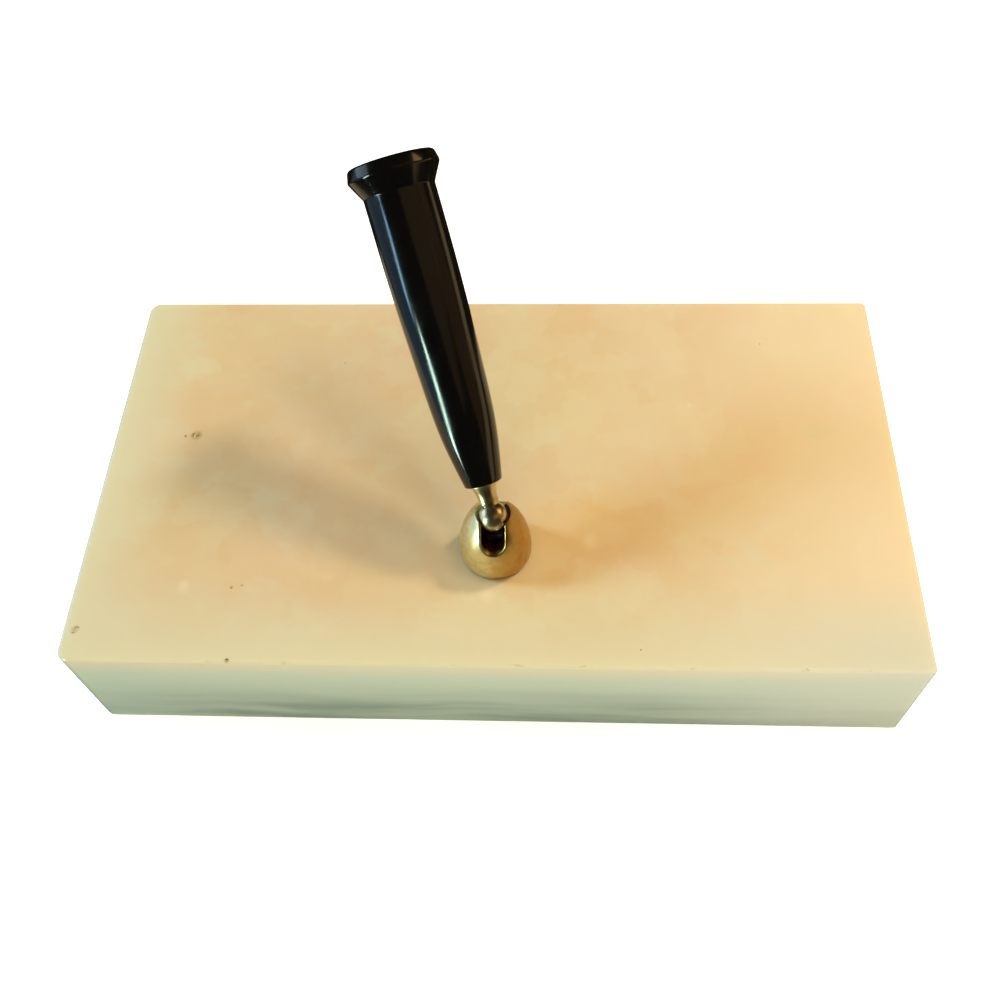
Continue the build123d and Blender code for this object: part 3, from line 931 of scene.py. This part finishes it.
class PENSTAND_OT_fittings(bpy.types.Operator):
    """Cut the stud's thread and finish the fittings inside the dome and under the slab"""

    bl_idname = "penstand.fittings"
    bl_label = "Fittings"

    def execute(self, context):
        zinc = machined_metal("zinc_plated_steel", "#B9BAB4", 0.38, 0.5)
        low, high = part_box("mounting_stud")
        bm = threaded_rod((high.x - low.x) / 2, low.z, high.z, 1.0 * MM)
        bm.transform(Matrix.Translation(((low.x + high.x) / 2, (low.y + high.y) / 2, 0)))
        rod = finish_mesh(bm, "threaded_stud", zinc)
        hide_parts("mounting_stud")
        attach(rod, "swivel")
        for node in ("clamp_washer", "spring_washer", "hex_nut", "rivet_washer"):
            dress(node, zinc)
        dress("ball_seat", moulded_plastic("moulded_black_nylon", "#0B0B0B", 0.4, 0.3))
        dress("seat_spring", machined_metal("drawn_spring_steel", "#6E6A64", 0.3, 0.3))
        dress("dome_plug", machined_metal("turned_brass", "#B08D4A", 0.35, 0.4))
        return {"FINISHED"}


# --- Floor, lights and camera ---------------------------------------------------------------------

# Lights: name, kind, place and aim in millimetres, size in metres, power in watts, colour. A fill
# only lights the surfaces and a gleam only shows in the gloss of the metal and the funnel
LIGHTS = (
    ("key_lamp", "fill", (530, 315, 830), (0, 0, 36), (0.13, 0.13), 4.5, "#FFEDCE"),
    ("second_lamp", "fill", (400, 40, 950), (0, 0, 36), (0.20, 0.20), 1.4, "#FFEDCE"),
    ("window", "fill", (-810, 120, 600), (0, 0, 36), (0.20, 0.24), 6.3, "#A8DBFF"),
    ("ceiling", "fill", (60, -100, 1240), (0, 0, 36), (1.2, 1.2), 6.7, "#FFDD9A"),
    ("front_fill", "fill", (520, -760, 260), (20, -56, 20), (0.50, 0.40), 3.2, "#F2F4F0"),
    ("window_low", "gleam", (-600, 85, 260), (0, -25, 50), (0.48, 0.34), 1.10, "#CFE8FF"),
    ("window_slit", "gleam", (-320, -252, 45), (-15, 0, 85), (0.05, 0.20), 1.05, "#D4FFEC"),
    ("window_slit_high", "gleam", (-366, -178, 150), (-20, 10, 100), (0.035, 0.10), 0.15, "#A6DCFF"),
    ("left_card", "gleam", (-600, -20, 20), (0, -25, 50), (0.55, 0.50), 0.45, "#A4D4F4"),
    ("gold_wall", "gleam", (420, 150, 440), (0, -25, 50), (0.22, 0.20), 0.46, "#FFCF85"),
    ("rear_wall", "gleam", (600, 20, 45), (0, -25, 50), (0.80, 0.14), 0.38, "#FFDCA0"),
    ("right_wall", "gleam", (560, -80, 300), (-10, 0, 80), (0.50, 0.28), 0.11, "#FFC27A"),
    ("front_wall", "gleam", (280, -250, 500), (0, -10, 80), (0.60, 0.26), 0.12, "#FFD18D"),
)

# How far the round floor and the backdrop reach, in millimetres
STAGE_RADIUS = 2700


def add_floor(colour):
    """A pale matt floor that gives off some light, so that it stays white to the camera."""
    material, tree, shader = new_material("matt_white_paint")
    shade = tuple(c * 0.985 for c in colour)
    cloud = grain(tree, 60.0, detail=2.0)
    tree.links.new(mix(tree, cloud, shade, colour), shader.inputs["Base Color"])
    shader.inputs["Roughness"].default_value = 0.9
    shader.inputs["Specular IOR Level"].default_value = 0.2
    shader.inputs["Emission Color"].default_value = (1.0, 1.0, 1.0, 1.0)
    shader.inputs["Emission Strength"].default_value = 0.72
    # It lies a hair below the felt, so that the two don't share a plane
    drop = Matrix.Translation((0, 0, -0.05 * MM))
    radius = (STAGE_RADIUS - 10) * MM
    bm = bmesh.new()
    bmesh.ops.create_circle(bm, cap_ends=True, segments=96, radius=radius, matrix=drop)
    floor = finish_mesh(bm, "floor", material)
    floor.visible_glossy = False


def add_backdrop():
    """A pale dome of paper that stands well behind the lights and that only the camera sees."""
    material, tree, shader = new_material("pale_backdrop_paper")
    paper = mix(tree, grain(tree, 400.0, detail=1.0), linear("#F2F1EE"), linear("#F6F5F2"))
    tree.links.new(paper, shader.inputs["Emission Color"])
    shader.inputs["Emission Strength"].default_value = 1.0
    shader.inputs["Base Color"].default_value = (0.0, 0.0, 0.0, 1.0)
    shader.inputs["Roughness"].default_value = 1.0
    shader.inputs["Specular IOR Level"].default_value = 0.0
    below_floor = 30
    outline = arc((0, -below_floor), STAGE_RADIUS, 0, 84, 14)
    outline.append((0, STAGE_RADIUS - below_floor))
    backdrop = finish_mesh(lathe(outline, 96), "backdrop", material, 80.0)
    backdrop.visible_diffuse = False
    backdrop.visible_glossy = False
    backdrop.visible_shadow = False


def add_camera(scene, settings):
    """The camera, at the photograph's angle."""
    camera = bpy.data.objects.new("camera", bpy.data.cameras.new("camera"))
    scene.collection.objects.link(camera)
    camera.data.sensor_width = 36.0
    camera.data.lens = settings.lens
    camera.data.clip_start = 0.01
    ahead = Vector(
        (
            -cos(settings.elevation) * sin(settings.azimuth),
            cos(settings.elevation) * cos(settings.azimuth),
            -sin(settings.elevation),
        )
    )
    turn = ahead.to_track_quat("-Z", "Y") @ Quaternion((0, 0, 1), settings.roll)
    place = Matrix.Translation(settings.camera_place)
    camera.matrix_world = place @ turn.to_matrix().to_4x4()
    scene.camera = camera


def add_lights(scene):
    """The dim warm room and the soft lamps in it."""
    scene.view_settings.view_transform = "Standard"
    world = bpy.data.worlds.new("studio")
    scene.world = world
    world.use_nodes = True
    background = world.node_tree.nodes["Background"]
    background.inputs["Color"].default_value = rgba(linear("#8A6A45"))
    background.inputs["Strength"].default_value = 0.12
    for name, kind, place, aim, size, power, colour_hex in LIGHTS:
        light = bpy.data.lights.new(name, "AREA")
        light.shape = "RECTANGLE"
        light.size, light.size_y = size
        light.energy = power
        light.color = linear(colour_hex)
        lamp = bpy.data.objects.new(name, light)
        scene.collection.objects.link(lamp)
        lamp.visible_camera = False
        lamp.visible_glossy = kind == "gleam"
        lamp.visible_diffuse = kind == "fill"
        away = Vector(place) - Vector(aim)
        turn = away.to_track_quat("Z", "Y").to_matrix().to_4x4()
        lamp.matrix_world = Matrix.Translation(Vector(place) * MM) @ turn


class PENSTAND_OT_stage(bpy.types.Operator):
    """Set up the floor, the lights and the camera"""

    bl_idname = "penstand.stage"
    bl_label = "Stage"

    def execute(self, context):
        settings = context.scene.pen_stand.stage
        add_floor(tuple(settings.floor))
        add_backdrop()
        add_camera(context.scene, settings)
        add_lights(context.scene)
        return {"FINISHED"}


# --- Add-on ---------------------------------------------------------------------------------------

OPERATORS = (
    PENSTAND_OT_slab,
    PENSTAND_OT_feet,
    PENSTAND_OT_dome,
    PENSTAND_OT_ball_stud,
    PENSTAND_OT_funnel,
    PENSTAND_OT_fittings,
    PENSTAND_OT_stage,
)


class PENSTAND_PT_sidebar(bpy.types.Panel):
    """Lists the pen stand's pieces and their settings."""

    bl_idname = "PENSTAND_PT_sidebar"
    bl_label = "Pen Stand"
    bl_space_type = "VIEW_3D"
    bl_region_type = "UI"
    bl_category = "Pen Stand"

    def draw(self, context):
        for operator in OPERATORS:
            self.layout.operator(operator.bl_idname)
        for name in ("slab", "metal", "funnel", "stage"):
            group = getattr(context.scene.pen_stand, name)
            box = self.layout.box()
            box.label(text=name.title())
            for key in group.__annotations__:
                box.prop(group, key)


CLASSES = (
    SlabSettings,
    MetalSettings,
    FunnelSettings,
    StageSettings,
    PenStandSettings,
    *OPERATORS,
    PENSTAND_PT_sidebar,
)


def register():
    for cls in CLASSES:
        bpy.utils.register_class(cls)
    bpy.types.Scene.pen_stand = PointerProperty(type=PenStandSettings)


def unregister():
    del bpy.types.Scene.pen_stand
    for cls in reversed(CLASSES):
        bpy.utils.unregister_class(cls)


def main():
    register()
    bpy.ops.penstand.slab()
    bpy.ops.penstand.feet()
    bpy.ops.penstand.dome()
    bpy.ops.penstand.ball_stud()
    bpy.ops.penstand.funnel()
    bpy.ops.penstand.fittings()
    bpy.ops.penstand.stage()


if __name__ == "__main__":
    main()
